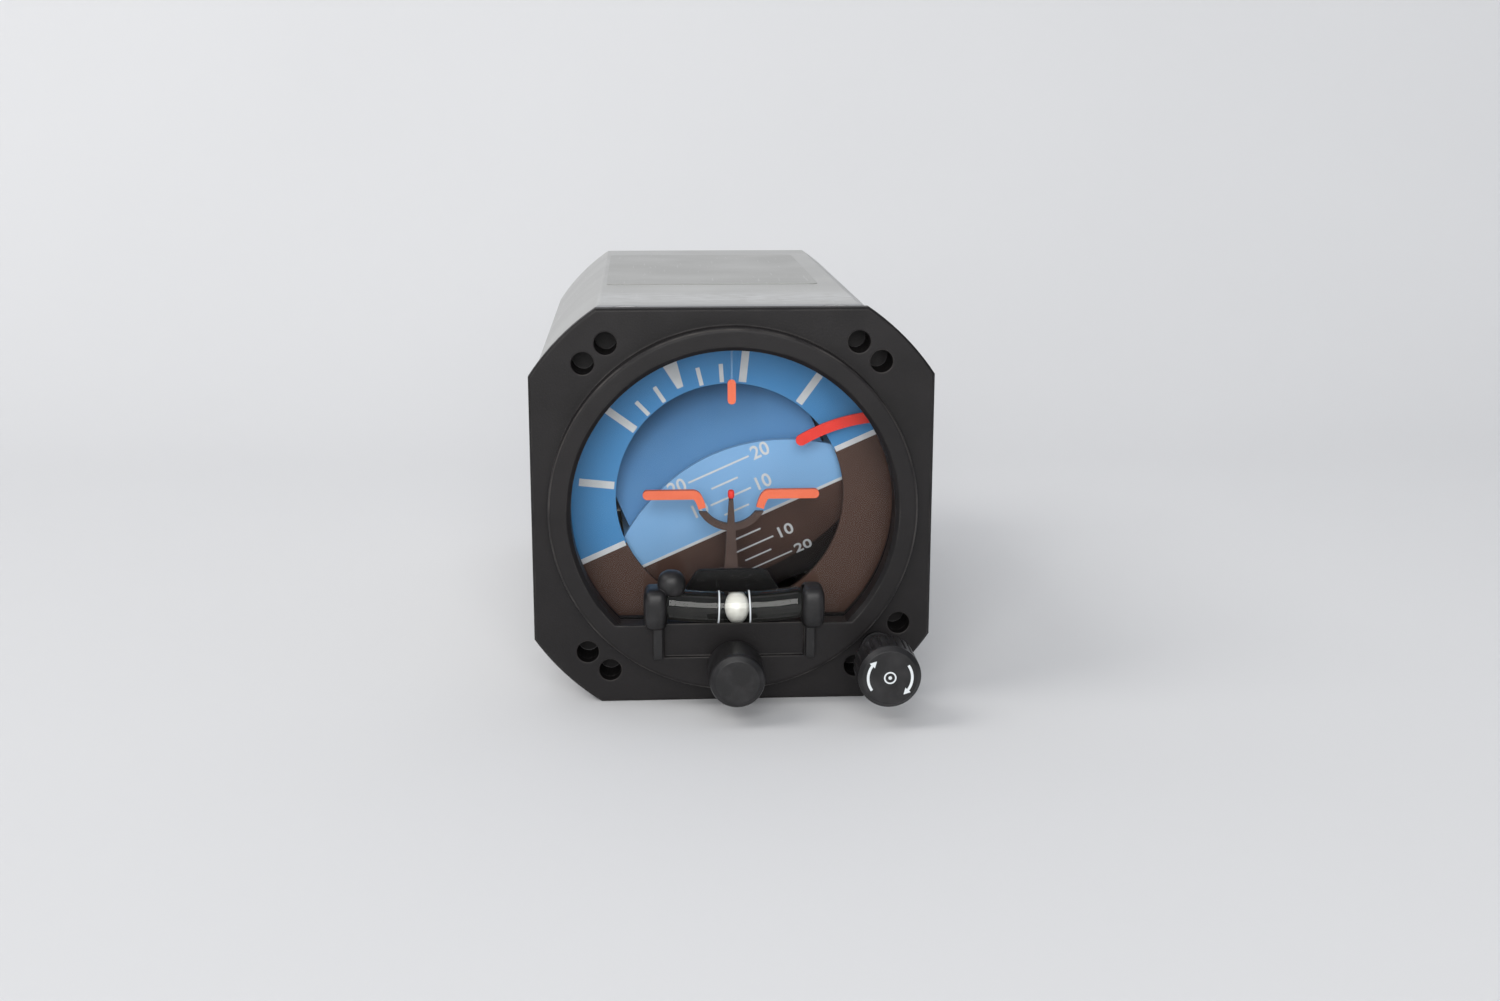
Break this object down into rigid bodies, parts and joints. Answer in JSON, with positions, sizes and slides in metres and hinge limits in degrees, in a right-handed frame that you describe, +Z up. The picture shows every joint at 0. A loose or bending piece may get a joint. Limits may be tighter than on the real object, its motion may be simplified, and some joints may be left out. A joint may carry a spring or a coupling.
{
  "type": "attitude indicator",
  "caption": "Panel-mounted attitude indicator: gyro-driven roll dial and pitch drum behind a round window, with adjustable aircraft symbol, warning flag, slip ball and caging knob.",
  "frame": {"origin": "centre of the flange's front face, which seats on the back of the panel", "axes": "+X to the pilot's right, +Y forward into the case, +Z up"},
  "size_m": [0.0858, 0.1845, 0.0858],
  "materials": {
    "backdrop_blue": "matte blue",
    "black_paint": "matte crinkle-free black paint",
    "black_plastic": "moulded",
    "brass": "machined",
    "case_grey": "satin light grey paint",
    "cast_aluminium": "bead-blasted casting",
    "copper": "enamelled wire",
    "dial_paint": "matte blue and brown dial paint",
    "flag_red": "matte red",
    "glass": "clear",
    "green_board": "coated laminate",
    "knob_black": "moulded",
    "machined_aluminium": "machined",
    "mount_brown": "matte brown",
    "rotor_metal": "turned heavy metal",
    "rubber": "moulded",
    "steel": "ground",
    "symbol_orange": "matte orange",
    "tube_glass": "clear, dark liquid",
    "white": "glazed"
  },
  "bodies": {
    "root": {"bezel": "black_paint", "lens": "glass", "lens_gasket": "rubber", "lens_retainer": "black_paint", "front_frame": "cast_aluminium", "case_cover": "case_grey", "chassis_posts": "machined_aluminium", "bearing_bulkhead": "cast_aluminium", "roll_bearings": "steel", "power_board": "green_board", "board_parts": "black_plastic", "brush_block": "black_plastic", "rear_plate": "case_grey", "rear_screws": "steel", "connector_shell": "machined_aluminium", "connector_insert": "rubber", "connector_pins": "brass", "symbol_pedestal": "black_paint", "slider_keeper": "machined_aluminium", "knob_bushings": "brass", "roll_index": "symbol_orange", "flag_coil": "black_plastic", "slip_tube": "tube_glass", "tube_lines": "white", "slip_caps": "black_paint", "front_screws": "steel", "cage_spring": "steel"},
    "roll_gimbal": {"roll_gimbal": "cast_aluminium", "roll_dial": "dial_paint", "sky_shell": "backdrop_blue", "roll_shaft": "steel", "heart_cam": "steel", "slip_rings": "brass", "pitch_bearings": "steel", "idler_studs": "steel"},
    "gyro": {"upper_housing": "cast_aluminium", "lower_housing": "cast_aluminium", "pitch_pivots": "steel", "gyro_gear": "brass", "rotor_bearings": "steel", "stator": "copper"},
    "rotor": {"rotor": "rotor_metal"},
    "erector": {"erector_wheel": "steel"},
    "drum": {"pitch_drum": "dial_paint", "drum_sleeves": "steel", "drum_gear": "brass"},
    "lower_idler": {"lower_idler": "brass"},
    "upper_idler": {"upper_idler": "brass"},
    "symbol": {"airplane_wings": "symbol_orange", "airplane_mount": "mount_brown", "airplane_pip": "flag_red", "symbol_rack": "machined_aluminium"},
    "adjuster": {"adjust_knob": "knob_black", "adjust_pinion": "steel"},
    "flag": {"warning_flag": "flag_red"},
    "cage_carriage": {"cage_arm": "machined_aluminium"},
    "cage_plunger": {"cage_rod": "steel", "cage_knob": "knob_black"},
    "slip_ball": {"slip_ball": "white"}
  },
  "joints": [
    {"name": "roll", "type": "hinge", "parent": "root", "child": "roll_gimbal", "pos_m": [0, 0.0485, 0], "axis": [0, 1, 0], "continuous": true},
    {"name": "gyro_pitch", "type": "hinge", "parent": "roll_gimbal", "child": "gyro", "pos_m": [0, 0.0485, 0], "axis": [0.9143, 0, 0.4051], "range_deg": [-48.8, 71.2]},
    {"name": "drum_pitch", "type": "hinge", "parent": "roll_gimbal", "child": "drum", "pos_m": [0, 0.0485, 0], "axis": [0.9143, 0, 0.4051], "range_deg": [-71.2, 48.8]},
    {"name": "lower_idler_turn", "type": "hinge", "parent": "roll_gimbal", "child": "lower_idler", "pos_m": [0.0325, 0.05625, 0.01057], "axis": [0.9143, 0, 0.4051], "range_deg": [-102, 70]},
    {"name": "upper_idler_turn", "type": "hinge", "parent": "roll_gimbal", "child": "upper_idler", "pos_m": [0.02967, 0.05625, 0.01697], "axis": [0.9143, 0, 0.4051], "range_deg": [-70, 102]},
    {"name": "rotor_spin", "type": "hinge", "parent": "gyro", "child": "rotor", "pos_m": [0, 0.0485, 0], "axis": [-0.3974, 0.1942, 0.8968], "continuous": true},
    {"name": "erector_spin", "type": "hinge", "parent": "gyro", "child": "erector", "pos_m": [0, 0.0485, 0], "axis": [-0.3974, 0.1942, 0.8968], "continuous": true},
    {"name": "adjust_turn", "type": "hinge", "parent": "root", "child": "adjuster", "pos_m": [0, 0, -0.0327], "axis": [0, 1, 0], "range_deg": [-39, 39]},
    {"name": "symbol_height", "type": "slide", "parent": "root", "child": "symbol", "axis": [0, 0, 1], "range_m": [-0.002, 0.002]},
    {"name": "flag_swing", "type": "hinge", "parent": "root", "child": "flag", "pos_m": [0.033, 0, 0.018], "axis": [0, 1, 0], "range_deg": [0, 61]},
    {"name": "cage_pull", "type": "slide", "parent": "root", "child": "cage_carriage", "axis": [0, -1, 0], "range_m": [0, 0.008], "stiffness_N_per_m": 400, "springref_m": -0.01, "deforming": ["cage_spring"]},
    {"name": "cage_turn", "type": "hinge", "parent": "cage_carriage", "child": "cage_plunger", "pos_m": [0.03143, 0, -0.03143], "axis": [0, 1, 0], "range_deg": [0, 60]},
    {"name": "slip_ball_roll", "type": "hinge", "parent": "root", "child": "slip_ball", "pos_m": [0, -0.0039, 0.0843], "axis": [0, 1, 0], "range_deg": [-5.9, 6.5]}
  ],
  "couplings": [
    {"joint": "drum_pitch", "follows": "gyro_pitch", "ratio": -1},
    {"joint": "lower_idler_turn", "follows": "gyro_pitch", "ratio": -1.4286},
    {"joint": "upper_idler_turn", "follows": "gyro_pitch", "ratio": 1.4286},
    {"joint": "adjust_turn", "follows": "symbol_height", "rad_per_m": 333.33}
  ]
}
